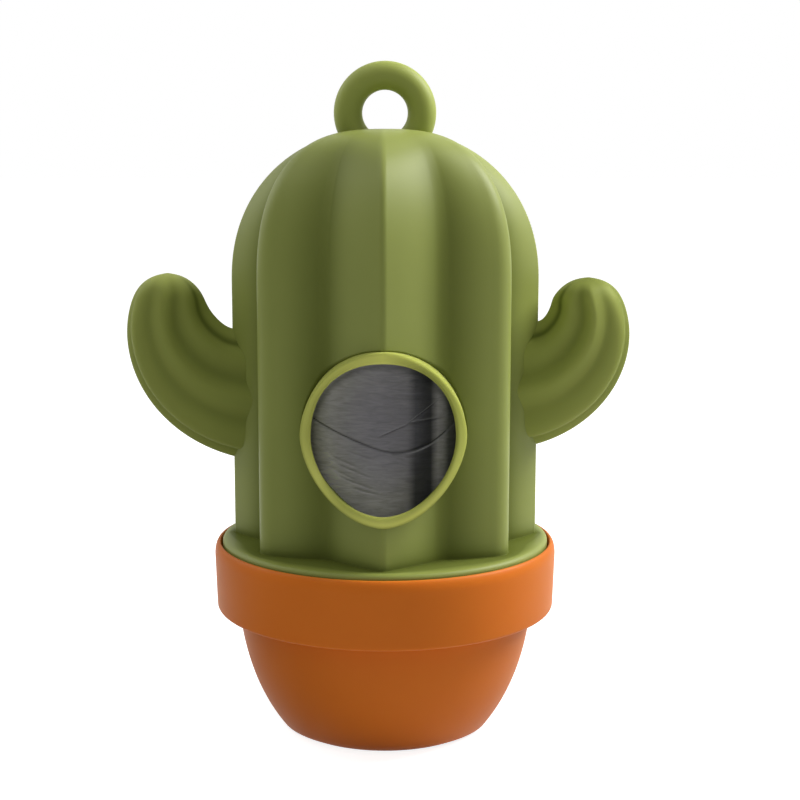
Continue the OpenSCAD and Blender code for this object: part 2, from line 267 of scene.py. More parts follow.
# %% Heights of the shell
FLANGE_TOP = 30.9
FLANGE_R = 25.9
FLANGE_T = 2.0
FLANGE_LIP = 0.75
NECK_Z = 21.5
NECK_R = 23.6
NECK_WALL = 2.7
NECK_EDGE = 0.6
BEAD_RISES = np.array([1.8, 4.4])
BEAD_LIFT = 0.2
STRAIGHT_TOP = 71.3
DOME_H = 23.5
DOME_TOP = STRAIGHT_TOP + DOME_H
CHAMBER_TOP = 91.0
CHAMBER_DOME_H = 15
CHAMBER_POWER = 2.4
WINDOW_Z = 50.3
WINDOW_REACH = 15.5
WINDOW_ROWS = 43


def at_height(outline, z):
    """A row of points (x, y, z) from an outline and one height."""
    return np.concatenate([outline, np.full((len(outline), 1), z)], axis=1)


def turned(profile, ways=RIB_WAYS):
    """Rows of a surface of revolution: each (radius, height) of the profile makes a ring."""
    profile = np.asarray(profile, float)
    rings = profile[:, 0, None, None] * ways[None]
    heights = np.broadcast_to(profile[:, 1, None, None], rings.shape[:2] + (1,))
    return np.concatenate([rings, heights], axis=2)


def arc(centre_r, centre_z, radius, start, stop, count):
    """Points of a circular arc in a profile, from one angle to another in degrees."""
    a = np.radians(np.linspace(start, stop, count))
    return np.stack([centre_r + radius * np.cos(a), centre_z + radius * np.sin(a)], axis=1)


window_heights = np.linspace(WINDOW_Z - WINDOW_REACH, WINDOW_Z + WINDOW_REACH, WINDOW_ROWS)
print("dome from", STRAIGHT_TOP, "to", DOME_TOP, "mm")

# %% Inside of the shell, from the top down
dome_turn = np.sin(np.radians(np.linspace(84, 0, 14)))
chamber_spring = CHAMBER_TOP - CHAMBER_DOME_H
above_window = np.linspace(chamber_spring - 2.5, 68, 3)
neck_in = NECK_R - NECK_WALL
chamber_profile = np.concatenate([
    np.stack([
        CHAMBER_R * superellipse(dome_turn, CHAMBER_POWER),
        chamber_spring + CHAMBER_DOME_H * dome_turn,
    ], axis=1),
    np.stack([np.full(len(above_window), CHAMBER_R), above_window], axis=1),
    np.stack([np.full(WINDOW_ROWS, CHAMBER_R), window_heights[::-1]], axis=1),
    [(CHAMBER_R, 33), (CHAMBER_R + 0.1, FLANGE_TOP + 1), (CHAMBER_R + 0.6, FLANGE_TOP + 0.4)],
    [(neck_in - 0.6, FLANGE_TOP - FLANGE_T + 0.5), (neck_in, FLANGE_TOP - FLANGE_T)],
    [(neck_in, NECK_Z + NECK_EDGE)],
    arc(neck_in + 0.4, NECK_Z + 0.4, 0.4, 180, 270, 4),
])
inside_rows = turned(chamber_profile)
inside_window = len(dome_turn) + len(above_window)
print("inside rows:", len(inside_rows))

# %% Neck, flange and ribs, from the bottom up
bead_z = np.linspace(NECK_Z + 1.0, NECK_Z + 5.2, 29)
bead_away = np.abs(bead_z[:, None] - NECK_Z - BEAD_RISES).min(axis=1)
bead_bump = BEAD_LIFT * np.cos(np.clip(bead_away / 0.5, 0, 1) * np.pi / 2) ** 2
lip_z = FLANGE_TOP - FLANGE_LIP
low_profile = np.concatenate([
    arc(NECK_R - NECK_EDGE, NECK_Z + NECK_EDGE, NECK_EDGE, -90, 0, 5),
    np.stack([NECK_R + bead_bump, bead_z], axis=1),
    [(NECK_R, FLANGE_TOP - FLANGE_T - 0.2), (NECK_R + 0.2, FLANGE_TOP - FLANGE_T)],
    arc(FLANGE_R - 0.25, FLANGE_TOP - FLANGE_T + 0.25, 0.25, -90, 0, 4),
    arc(FLANGE_R - FLANGE_LIP, lip_z, FLANGE_LIP, 0, 90, 10),
])
# The flange's flat top runs in from its lip to the foot of the ribs, a nearly sharp corner.
FOOT_FILLET = 0.12
FLAT_SHARES = [0.35, 0.7, 0.97, 1.0]
lip_end = at_height(RIB_WAYS * (FLANGE_R - FLANGE_LIP), FLANGE_TOP)
rib_foot_out = at_height(ribs(BODY_R + FOOT_FILLET)[0], FLANGE_TOP)
rib_foot = np.stack([
    at_height(ribs(BODY_R + 0.3 * FOOT_FILLET)[0], FLANGE_TOP + 0.3 * FOOT_FILLET),
    at_height(RIB_FOOT, FLANGE_TOP + FOOT_FILLET),
])
below_window = [FLANGE_TOP + 0.25, FLANGE_TOP + 1.2, 33.3]
straight_z = np.concatenate([below_window, window_heights, [67.6, 69.4, 70.5]])
dome_t = np.sin(np.radians(np.linspace(0, 88.6, 46)))
outside_rows = np.concatenate([
    turned(low_profile),
    between(lip_end, rib_foot_out, FLAT_SHARES),
    rib_foot,
    np.stack([at_height(RIB_FOOT, z) for z in straight_z]),
    np.stack([
        at_height(outline, STRAIGHT_TOP + DOME_H * t)
        for outline, t in zip(ribs(BODY_R, dome_t), dome_t)
    ]),
])
outside_window = len(low_profile) + len(FLAT_SHARES) + len(rib_foot) + len(below_window)
print("outside rows:", len(outside_rows))

# %% [markdown]
# ## The window's egg shape
# The window is an egg with its lean end down: half of one superellipse on half of
# another, both upright where they meet at the sides. A spline would do too, but the
# formula grows evenly. The ring's outline is leaner, so the ring is widest at its top,
# bottom and sides.

# %% Outlines of the window and its ring
WINDOW_HALF_W = 10.6
WINDOW_UP = 11.3
WINDOW_DOWN = 11.1
WINDOW_POWERS = (2.15, 1.85)
RING_BAND = 1.7
RING_POWERS = (1.85, 1.75)
SEAT_GAP = 0.07
FLARE = 0.7


def egg_reach(angle, grow, powers):
    """How far the egg reaches at an angle: (|cos/w|^p + |sin/h|^p) to the power -1/p.

    Height h and power p are the upper half's where the sine is positive, and else the
    lower half's. All sizes grow by one width.
    """
    upper = np.sin(angle) > 0
    half_h = np.where(upper, WINDOW_UP, WINDOW_DOWN) + grow
    power = np.where(upper, *powers)
    across = np.abs(np.cos(angle) / (WINDOW_HALF_W + grow)) ** power
    up = np.abs(np.sin(angle) / half_h) ** power
    return (across + up) ** (-1 / power)


def egg(angle, grow, powers):
    """Points (x, z) of the egg, grown by a width, at each angle."""
    reach = egg_reach(angle, grow, powers)
    return reach * np.cos(angle), WINDOW_Z + reach * np.sin(angle)


print("ring band on the diagonal:", round(float(
    egg_reach(np.pi / 4, RING_BAND, RING_POWERS)
    - egg_reach(np.pi / 4, 0, WINDOW_POWERS)), 2), "mm")

# %% [markdown]
# ## Cutting the window without a Boolean
# A Boolean would leave long thin triangles around the window that show in highlights.
# Here the shell's table leaves out a block of faces in front, inside and outside, and a
# second table fills it. Its columns follow the block's rim point by point, and its rows
# run from that rim to the window's edge, down the seat of the ring, through the wall and
# out again to the block's rim inside. Behind the seat the front rib is hollow, so the
# hole has a thin edge.

# %% The window's seat and wall
RING_LIFT = 0.7
RING_SEAT = 1.1
POCKET_WALL = 1.2
POCKET_RISE = 1.5
POCKET_SHARE = 0.5
PATCH_HALF_W = 15.0
FRONT_SPAN = 60


def on_front(across, up, radius):
    """Points at (x, z) put on the ribbed surface of one radius, read as a table of y by x."""
    outline = ribs(radius, facet_n=40)[0]
    ahead = outline[outline[:, 1] < -0.45 * radius]
    ahead = ahead[np.argsort(ahead[:, 0])]
    return np.stack([across, np.interp(across, ahead[:, 0], ahead[:, 1]), up], axis=-1)


def on_chamber(across, up):
    """Points at (x, z) put on the front of the round chamber."""
    return np.stack([across, -np.sqrt(CHAMBER_R**2 - across**2), up], axis=-1)


shell_rows = np.concatenate([inside_rows, outside_rows])
shell_index = np.arange(shell_rows.shape[0] * COLUMNS).reshape(-1, COLUMNS)
front_column = int(np.argmin(RIB_FOOT[:, 1]))
front_x = RIB_FOOT[front_column:front_column + FRONT_SPAN, 0]
half_columns = int(np.searchsorted(front_x, PATCH_HALF_W))
block = slice(front_column - half_columns, front_column + half_columns + 1)
first_out = len(inside_rows) + outside_window
outer_block = shell_index[first_out:first_out + WINDOW_ROWS, block]
inner_block = shell_index[inside_window:inside_window + WINDOW_ROWS, block][::-1]


def rim(index):
    """Point numbers round the edge of a block, along its foot, up, back and down."""
    return np.concatenate([index[0, :-1], index[:-1, -1], index[-1, :0:-1], index[:0:-1, 0]])


outer_rim, inner_rim = rim(outer_block), rim(inner_block)
print("window block:", outer_block.shape, "rim of", len(outer_rim), "points")

# %% The patch that carries the window
shell_points = shell_rows.reshape(-1, 3)
outer_edge = shell_points[outer_rim]
inner_edge = shell_points[inner_rim]
angle = np.arctan2(outer_edge[:, 2] - WINDOW_Z, outer_edge[:, 0])
seat_x, seat_z = egg(angle, RING_BAND + SEAT_GAP, RING_POWERS)
edge_x, edge_z = egg(angle, 0, WINDOW_POWERS)
hole_x = edge_x + FLARE * (seat_x - edge_x)
hole_z = edge_z + FLARE * (seat_z - edge_z)
pocket_z = WINDOW_Z + (hole_z - WINDOW_Z) * (1 + POCKET_SHARE * POCKET_RISE / WINDOW_UP)

face_shares = np.linspace(0, 1, 13)[1:]
face_rows = on_front(
    between(outer_edge[:, 0], seat_x, face_shares),
    between(outer_edge[:, 2], seat_z, face_shares), BODY_R)
seat_shares = [0, 0.5, 1]
floor_rows = on_front(
    between(seat_x, hole_x, seat_shares), between(seat_z, hole_z, seat_shares),
    BODY_R - RING_SEAT)
lip_end = on_front(hole_x, hole_z, BODY_R - RING_SEAT - POCKET_WALL)
pocket_start = on_front(hole_x, pocket_z, BODY_R - RING_SEAT - POCKET_WALL)
pocket_end = on_chamber(hole_x, pocket_z)
wall_rows = np.concatenate([
    between(floor_rows[-1], lip_end, [0.1, 0.9, 1.0]),
    between(lip_end, pocket_start, [0.1, 0.9, 1.0]),
    between(pocket_start, pocket_end, [0.1, 0.5, 0.9, 1.0]),
])
back_shares = np.linspace(0, 1, 8)[1:-1]
back_rows = on_chamber(
    between(hole_x, inner_edge[:, 0], back_shares),
    between(pocket_z, inner_edge[:, 2], back_shares))
patch = np.concatenate([face_rows, floor_rows, wall_rows, back_rows])
patch_index = len(shell_points) + np.arange(patch.shape[0] * patch.shape[1])
patch_index = np.concatenate([
    outer_rim[None], patch_index.reshape(patch.shape[:2]), inner_rim[None],
])
print("patch rows:", len(patch))

# %% Join the shell
VALLEY_SHADE = 0.7
VALLEY_SHADE_W = np.array([3.0, 5.0])
SECOND_RIB = (26.25, 71)
CORNER_SHADE_H = 0.9
FLAT_SHADE = [0.85, 0.95, 1.0, 1.0]
CROWN_SHADE = 0.3
shell_quads = quads(shell_index)
keep = np.ones(shell_quads.shape[:2], bool)
for first in (first_out, inside_window):
    keep[first:first + WINDOW_ROWS - 1, block.start:block.stop - 1] = False
all_points = np.concatenate([
    shell_points, patch.reshape(-1, 3), [(0, 0, CHAMBER_TOP), (0, 0, DOME_TOP)],
])
# The dark mark on the shell is painted shade, not dirt. It stands for the shade in the valleys,
# and its strength and reach are set for the front view. It is 1 in a valley's line, falls
# as a bell, reaches further on the second rib, and fades over the dome, later on the right.
valleys = CORNERS[1::2]
valley_corner = BODY_R * VALLEY_SHARE * np.stack([np.sin(valleys), -np.cos(valleys)], axis=1)
valley_away = np.linalg.norm(RIB_FOOT[:, None] - valley_corner[None], axis=2).min(axis=1)
foot_azimuth = np.degrees(np.abs(np.arctan2(RIB_FOOT[:, 0], -RIB_FOOT[:, 1])))
on_second = (foot_azimuth > SECOND_RIB[0]) & (foot_azimuth < SECOND_RIB[1])
valley_painted_shade = bell(valley_away, VALLEY_SHADE_W[on_second.astype(int)])
front = slice(front_column - FRONT_SPAN, front_column + FRONT_SPAN + 1)
outside = np.linalg.norm(patch[..., :2], axis=-1) > CHAMBER_R + 0.5
patch_painted_shade = np.interp(patch[..., 0], RIB_FOOT[front, 0], valley_painted_shade[front]) * outside
height = outside_rows[..., 2]
ribbed = (np.arange(len(outside_rows)) >= len(low_profile) + len(FLAT_SHARES))[:, None]
up_dome = np.clip((height - STRAIGHT_TOP) / DOME_H, 0, 1)
fade_power = np.where(RIB_FOOT[:, 0] > -8, 4, 2)
on_ribs = VALLEY_SHADE * valley_painted_shade * (1 - up_dome**fade_power) * ribbed
# Painted shade darkens the flange's flat top most at the foot of the ribs. On the ribs it dies
# away above the flange with height h as exp(-h/w).
flat = np.zeros((len(outside_rows), 1))
flat[len(low_profile):len(low_profile) + len(FLAT_SHADE), 0] = FLAT_SHADE
above = np.exp(-np.maximum(height - FLANGE_TOP, 0) / CORNER_SHADE_H)
near_foot = np.where(ribbed, above, flat)
# A weak painted shade lies on the crown, left of the front crest.
left = smooth_step(-RIB_FOOT[:, 0], 0, 1.5) * (RIB_FOOT[:, 1] < 0)
on_crown = CROWN_SHADE * smooth_step(up_dome, 0.65, 0.9) * left * ribbed
shell_painted_shade = 1 - (1 - on_ribs) * (1 - near_foot) * (1 - on_crown)
painted_shade = np.concatenate([
    np.zeros(inside_rows.shape[0] * COLUMNS), shell_painted_shade.ravel(),
    VALLEY_SHADE * patch_painted_shade.ravel(), [0, 0],
])
cactus = make_piece("cactus_shell", all_points, [
    shell_quads[keep],
    quads(patch_index).reshape(-1, 4),
    fan(shell_index[0], len(all_points) - 2, from_tip=True),
    fan(shell_index[-1], len(all_points) - 1),
], {"painted_shade": painted_shade})
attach(cactus, "cactus")
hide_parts("cactus_body")

# %% [markdown]
# ## The arms
# Two arms curl up beside the cactus, moulded with the body or bonded to it. An arm is a
# ribbed section carried round a bend: its inner and outer edge each have a radius that
# changes along the way, and the section is stretched between them.
#
# The body's outline would lose its grooves when stretched that far, so the arms have
# their own list of crests and grooves, from the outer edge to the inner one, and the back
# mirrors the front. The ribs fade out over the rounded tip.

# %% Section of an arm
ARM_WAY = np.array([
    (1, 0), (0.85, 19), (0.97, 38), (0.75, 64.5), (1, 91),
    (0.75, 110.5), (0.97, 130), (0.84, 155), (1, 180),
])
ARM_SOFTNESS = np.array([0.15, 0.06, 0.26, 0.09, 0.14, 0.08, 0.2, 0.06, 0.15])
ARM_FACET_POINTS = 3
# Painted shade in the arms' grooves: a weight and a width in degrees for each groove, from the
# outer edge inwards.
GROOVE_SHADE = np.array([0.3, 0.4, 0.55, 1.0])
GROOVE_SHADE_W = np.array([6, 11, 10, 7])

arm_way_back = (ARM_WAY[1:-1] * (1, -1) + (0, 360))[::-1]
arm_way = np.concatenate([ARM_WAY, arm_way_back])
arm_azimuth = np.radians(arm_way[:, 1])
arm_corners = arm_way[:, :1] * np.stack([np.cos(arm_azimuth), np.sin(arm_azimuth)], axis=1)
start, curve, end = soft_corners(arm_corners, np.append(ARM_SOFTNESS, ARM_SOFTNESS[7:0:-1]))
f = np.linspace(0, 1, ARM_FACET_POINTS + 2)[1:-1, None]
facet = end[:, None] * (1 - f) + np.roll(start, -1, axis=0)[:, None] * f
ARM_SECTION = np.concatenate([curve, facet], axis=1).reshape(-1, 2)
ARM_ROUND = ARM_SECTION / np.linalg.norm(ARM_SECTION, axis=1)[:, None]
section_azimuth = np.degrees(np.arctan2(np.abs(ARM_SECTION[:, 1]), ARM_SECTION[:, 0]))
groove_away = section_azimuth[:, None] - ARM_WAY[1::2, 1]
IN_GROOVES = (GROOVE_SHADE * bell(groove_away, GROOVE_SHADE_W)).max(axis=1)
print("columns round an arm:", len(ARM_SECTION))

# %% Arms
ARM_ROOT_T = 4.4
ARM_TIP_T = 5.4
ARM_CAP_POWER = 1.6
ROOT_RUN = 5.4
ROOT_DROP = 1.1


def eased(rows, count, passes):
    """Rows spaced evenly along the piece, then averaged with their neighbours.

    Each pass takes a quarter, a half and a quarter of three rows, which takes out the
    kink where the bend meets the cap.
    """
    way = np.linalg.norm(np.diff(rows, axis=0), axis=2).mean(axis=1)
    way = np.append(0, np.cumsum(way))
    even = np.linspace(0, way[-1], count)
    after = np.clip(np.searchsorted(way, even), 1, len(way) - 1)
    share = ((even - way[after - 1]) / (way[after] - way[after - 1]))[:, None, None]
    rows = rows[after - 1] * (1 - share) + rows[after] * share
    for _ in range(passes):
        rows[1:-1] = (rows[:-2] + 2 * rows[1:-1] + rows[2:]) / 4
    return rows


def arm(name, node, side, bend_z, inner, outer, cap_h, tone=0.0, end_shade=0.0, root_unshaded=0.0):
    """The section swept a quarter turn about a centre on the side rib's crest.

    Turned by an angle, a point at radius r is at x = body + r sin, z = bend - r cos. The
    inner radius follows a quadratic curve by root, pull and tip, the outer one changes
    evenly, and the thickness as a quarter of a sine wave. A superellipse closes the tip,
    and its power rises to 2 at the very end, which makes that round.

    Painted shade darkens the arm: in the grooves, all over, at the tip and its outer side,
    and less near the root.
    """
    def place(turn, low, high, thick, rise=0.0, run=0.0, fade=0.0):
        columns = [np.atleast_1d(v)[:, None] for v in (turn, low, high, thick, rise, run, fade)]
        turn, low, high, thick, rise, run, fade = columns
        across = ARM_SECTION[:, 0] * (1 - fade) + ARM_ROUND[:, 0] * fade
        along = -ARM_SECTION[:, 1] * (1 - fade) - ARM_ROUND[:, 1] * fade
        radius = (high + low) / 2 + (high - low) / 2 * across
        x = side * (BODY_R - run + radius * np.sin(turn))
        y = side * thick * along + 0 * radius
        z = bend_z - radius * np.cos(turn) + rise
        return np.stack(np.broadcast_arrays(x, y, z), axis=-1)

    s = np.linspace(0, 1, 40)
    low = inner[0] * (1 - s) ** 2 + inner[1] * 2 * s * (1 - s) + inner[2] * s**2
    high = outer[0] + (outer[1] - outer[0]) * s
    thick = ARM_ROOT_T + (ARM_TIP_T - ARM_ROOT_T) * np.sin(s * np.pi / 2)
    t = np.sin(np.radians(np.linspace(0, 88, 20)[1:]))
    share = superellipse(t, ARM_CAP_POWER + (2 - ARM_CAP_POWER) * t**4)
    middle, half = (inner[2] + outer[1]) / 2, (outer[1] - inner[2]) / 2
    root = np.array([1.0, 0.6, 0.25])
    rows = np.concatenate([
        place(0 * root, inner[0], outer[0], ARM_ROOT_T, -ROOT_DROP * root, ROOT_RUN * root),
        place(s * np.pi / 2, low, high, thick, fade=0.4 * smooth_step(s, 0.6, 1)),
        place(
            np.pi / 2 + 0 * t, middle - half * share, middle + half * share,
            ARM_TIP_T * superellipse(t, 2), cap_h * t, fade=0.4 + 0.6 * smooth_step(t, 0, 0.8),
        ),
    ])
    rows = eased(rows, 90, 30)
    way = np.linspace(0, 1, len(rows))[:, None]
    tip = smooth_step(way, 0.77, 0.97)
    outer_side = (1 - smooth_step(section_azimuth, 25, 50)) * smooth_step(way, 0.3, 0.7)
    near_root = 1 - root_unshaded * (1 - smooth_step(way, 0.1, 0.5))
    groove = np.where(section_azimuth < 140, near_root, 1) * IN_GROOVES
    painted_shade = 1 - (1 - tone) * (1 - groove)
    at_end = end_shade * np.maximum(0.75 * outer_side, tip)
    painted_shade = (1 - (1 - painted_shade * (1 - tip)) * (1 - at_end)).ravel()
    start = rows[0].mean(axis=0)
    end = (side * (BODY_R + middle), 0, bend_z + cap_h)
    piece = closed_skin(name, rows, start, end, {"painted_shade": painted_shade})
    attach(piece, "cactus")
    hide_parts(node)
    return piece


# Painted shade: the left arm is darker all over, and the right arm is darker at its tip and outer
# side, with its grooves shaded less near the root.
arms = [
    arm(
        "cactus_arm_left", "left_arm", side=-1, bend_z=69.0, inner=(4.75, 2.75, 4.1),
        outer=(26.2, 15.4), cap_h=3.5, tone=0.22),
    arm(
        "cactus_arm_right", "right_arm", side=1, bend_z=68.9, inner=(3.5, 1.0, 1.95),
        outer=(24.0, 12.9), cap_h=3.0, end_shade=0.9, root_unshaded=0.6),
]

# %% [markdown]
# ## The hanging loop
# A thick ring stands on the dome, for a carabiner or a cord. It is a torus, closed both
# ways, and lifting its lowest points to one level cuts its foot flat inside the dome.

# %% Hanging loop
LOOP_R = 5.7
LOOP_WIRE_R = 2.2
LOOP_Z = 97.197
LOOP_FOOT_Z = DOME_TOP - 2.0

round_ring = np.radians(np.arange(0, 360, 3.75))[:, None]
round_wire = np.radians(np.arange(0, 360, 10))[None]
reach = LOOP_R + LOOP_WIRE_R * np.cos(round_wire)
loop_rows = np.stack([
    reach * np.cos(round_ring),
    LOOP_WIRE_R * np.sin(round_wire) + 0 * round_ring,
    np.maximum(LOOP_Z + reach * np.sin(round_ring), LOOP_FOOT_Z),
], axis=-1)
loop = closed_table("cactus_loop", loop_rows)
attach(loop, "cactus")
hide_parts("hanging_loop")

# %% [markdown]
# ## The ring round the window
# A lighter ring lines the window, so that a bag slides over something round. It is half
# sunk in its seat on the front rib and stands proud of the valleys at its sides, because
# its front is bowed round an upright axis. Its section is a band with two soft edges, and
# its inner wall flares towards the roll.

# %% Window ring
RING_BOW_R = 18.0
RING_EDGE = 0.4
INNER_SHARE = 0.4
OUTER_SHARE = 0.3
# Painted shade on the ring: a weight for every 30 degrees from the right, anticlockwise.
FRONT_SHADE = [0.85, 1, 0.95, 0, 0.35, 0.55, 0.6, 0.2, 0.5, 0, 0.25, 0.65, 0.85]
INNER_EDGE_SHADE = [0.7, 0.7, 0.4, 0, 0.3, 0.5, 0.3, 0, 0.6, 0.7, 0.9, 0.9, 0.7]
OUTER_EDGE_SHADE = 0.85

round_egg = np.radians(np.arange(0, 360, 1.5))[:, None]
edge_turn = np.radians(np.linspace(0, 90, 9))
edge_share = 1 - np.cos(edge_turn)
edge_drop = RING_EDGE * (1 - np.sin(edge_turn))
top_share = np.linspace(INNER_SHARE, 1 - OUTER_SHARE, 6)[1:-1]
band_share = np.concatenate([
    INNER_SHARE * edge_share, top_share, 1 - OUTER_SHARE * edge_share[::-1],
])
band_drop = np.concatenate([1.4 * edge_drop, 0 * top_share, edge_drop[::-1]])

in_x, in_z = egg(round_egg, 0, WINDOW_POWERS)
out_x, out_z = egg(round_egg, RING_BAND, RING_POWERS)


def ring_front(across):
    """Depth of the bowed front: a circle of radius r gives r - sqrt(r^2 - x^2) of fall."""
    return -BODY_R - RING_LIFT + RING_BOW_R - np.sqrt(RING_BOW_R**2 - across**2)


def ring_columns(shares):
    """Points (x, z) between the window's edge and the ring's outer edge."""
    return in_x + (out_x - in_x) * shares, in_z + (out_z - in_z) * shares


crown_x, crown_z = ring_columns(band_share)
crown = np.stack([crown_x, ring_front(crown_x) + band_drop, crown_z], axis=-1)
base = on_front(*ring_columns(np.linspace(1, FLARE, 4)), BODY_R - RING_SEAT)
outer_wall = base[:, :1] + (crown[:, -1:] - base[:, :1]) * np.linspace(1, 0, 5)[1:-1, None]
inner_wall = base[:, -1:] + (crown[:, :1] - base[:, -1:]) * np.linspace(0, 1, 5)[1:-1, None]
ring_rows = np.concatenate([crown, outer_wall, base, inner_wall], axis=1)[:, ::-1]


def by_angle(steps):
    """Weights between steps of 30 degrees, at every angle of the ring."""
    return np.interp(np.degrees(round_egg), np.arange(0, 361, 30), steps)


# The front has one weight of painted shade at each angle, and the shade grows towards both edges
# of the band.
outer_mark = OUTER_EDGE_SHADE * np.concatenate([
    smooth_step(band_share, 0.7, 0.97), np.ones(3), np.zeros(base.shape[1] + 3),
])
inner_mark = np.concatenate([
    1 - smooth_step(band_share, 0, 0.65), np.zeros(3 + base.shape[1]), np.ones(3),
])
unshaded_share = (1 - by_angle(FRONT_SHADE)) * (1 - outer_mark)
unshaded_share = unshaded_share * (1 - by_angle(INNER_EDGE_SHADE) * inner_mark)
ring = closed_table("window_rim", ring_rows, {"painted_shade": (1 - unshaded_share)[:, ::-1].ravel()})
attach(ring, "cactus")
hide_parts("window_ring")

# %% [markdown]
# ## The pot
# The pot is shaped like a clay flower pot with a collar, but moulded in silicone. The
# cactus's flange lies on a ledge inside its rim, and the roll stands in a shallow recess
# in its floor. One profile runs from the middle of the base up the outside, over the rim
# and down the inside, and turning it closes the wall.

# %% Pot
POT_H = 30.2
RIM_R = 27.15
MOUTH_R = 26.2
RIM_EDGE_W = 0.75
RIM_EDGE_H = 1.9
COLLAR_Z = 19.6
COLLAR_FOOT_R = 26.88
COLLAR_EDGE = 0.55
BOWL_R = 23.45
BOWL_DRAW = 0.36
BASE_R = 16.2
BOWL_WALL = 2.4
BORE_R = 23.9
RECESS_R = 17.0
FLOOR_Z = 4.5
FLOOR_TOP = 6.0
LEDGE_Z = 28.9
BORE_END_Z = 21.3
SIDE_SHADE = 0.33
BOWL_DEPTH = COLLAR_Z / np.sqrt(1 - (BASE_R / BOWL_R) ** 2)


def bowl_profile(heights, inset=0.0):
    """The bowl's curve: an ellipse whose widest place is at the collar's foot.

    At share v of the way up it is drawn in by 4v(1-v) times the draw, a little conical.
    """
    radii = BOWL_R * np.sqrt(1 - ((COLLAR_Z - heights) / BOWL_DEPTH) ** 2) - inset
    v = np.clip(heights / COLLAR_Z, 0, 1)
    radii = radii - BOWL_DRAW * 4 * v * (1 - v)
    return np.stack([radii, heights], axis=1)


rim_edge = arc(0, 0, 1, 0, 88, 12) * (RIM_EDGE_W, RIM_EDGE_H)
pot_profile = np.concatenate([
    [(8, 0), (BASE_R - 1.4, 0), (BASE_R - 0.75, 0.08), (BASE_R - 0.3, 0.3)],
    bowl_profile(np.concatenate([[0.75], np.linspace(1.5, COLLAR_Z - 0.3, 22)])),
    [(BOWL_R + 0.25, COLLAR_Z)],
    arc(COLLAR_FOOT_R - COLLAR_EDGE, COLLAR_Z + COLLAR_EDGE, COLLAR_EDGE, -90, 0, 7),
    rim_edge + (RIM_R - RIM_EDGE_W, POT_H - RIM_EDGE_H),
    [(MOUTH_R + 0.06, POT_H - 0.05), (MOUTH_R, POT_H - 0.25), (MOUTH_R, LEDGE_Z + 0.2)],
    [(MOUTH_R - 0.2, LEDGE_Z), (BORE_R + 0.2, LEDGE_Z), (BORE_R, LEDGE_Z - 0.2)],
    [(BORE_R, BORE_END_Z), (BORE_R - 0.3, BORE_END_Z - 0.3)],
    bowl_profile(np.linspace(COLLAR_Z, FLOOR_TOP + 0.3, 16), BOWL_WALL),
    [(RECESS_R + 0.4, FLOOR_TOP), (RECESS_R, FLOOR_TOP - 0.3)],
    [(RECESS_R, FLOOR_Z + 0.3), (RECESS_R - 0.3, FLOOR_Z), (8, FLOOR_Z)],
])
around = np.radians(np.arange(0, 360, 1.5))
pot_ways = np.stack([np.sin(around), -np.cos(around)], axis=1)
# Painted shade darkens the pot's sides, where the lamps light them most, and leaves its front and
# back.
sides = SIDE_SHADE * smooth_step(np.degrees(np.arcsin(np.abs(np.sin(around)))), 35, 75)
pot = closed_skin(
    "flower_pot", turned(pot_profile, pot_ways), (0, 0, 0), (0, 0, FLOOR_Z),
    {"painted_shade": np.tile(sides, len(pot_profile))})
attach(pot, "pot")
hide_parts("pot")

# %% [markdown]
# ## The outer bag of the roll
# Bag film is wound tight but never quite smooth: fine ripples run round the roll, and
# loose film sags into long creases. A cloth simulation would be slow for so little, so
# the outer bag is a thin closed ring whose radius is a formula of azimuth and height.

# %% Film of the outer bag
FILM_R = 16.44
FILM_IN_R = 16.12
ROLL_FOOT = 4.5
ROLL_TOP = ROLL_FOOT + 60.0
FINE_AZ = 48


def sag(azimuth):
    """Height of the long crease, a units of 38 degrees from its lowest point.

    It rises by 4.4 (sqrt(a^2 + 0.05) - 0.22) mm on the left and by 5.2 a^2 mm on the right.
    """
    off = (azimuth - 6.5) / 38
    return 47.1 + np.where(off < 0, 4.4 * (np.sqrt(off**2 + 0.05) - 0.05**0.5), 5.2 * off**2)


film_az = np.concatenate([
    np.linspace(-FINE_AZ, FINE_AZ, 181), np.linspace(FINE_AZ, 360 - FINE_AZ, 100)[1:-1],
])
film_z = np.concatenate([
    np.linspace(ROLL_FOOT, 37.5, 34), np.linspace(37.5, 63, 160)[1:], [63.6, 64.2, ROLL_TOP],
])
az = film_az[None]
z = film_z[:, None]
crease_off = z - sag(az)
crease_shown = smooth_step(FINE_AZ - np.abs(az), 0, 8)
film_r = FILM_R - 0.16 * bell(crease_off, 0.16) * crease_shown
film_r = film_r + 0.06 * (1 - smooth_step(crease_off, -0.5, 0.1))
crease_shown = crease_shown * (1 - smooth_step(az, 33, 37))
# Painted shade darkens the long crease, and a painted highlight lies just below it on the right.
crease_and_edge_shade = bell(crease_off, 0.12) * crease_shown
crease_highlight = bell(crease_off + 0.26, 0.1) * smooth_step(az, 5, 20) * crease_shown
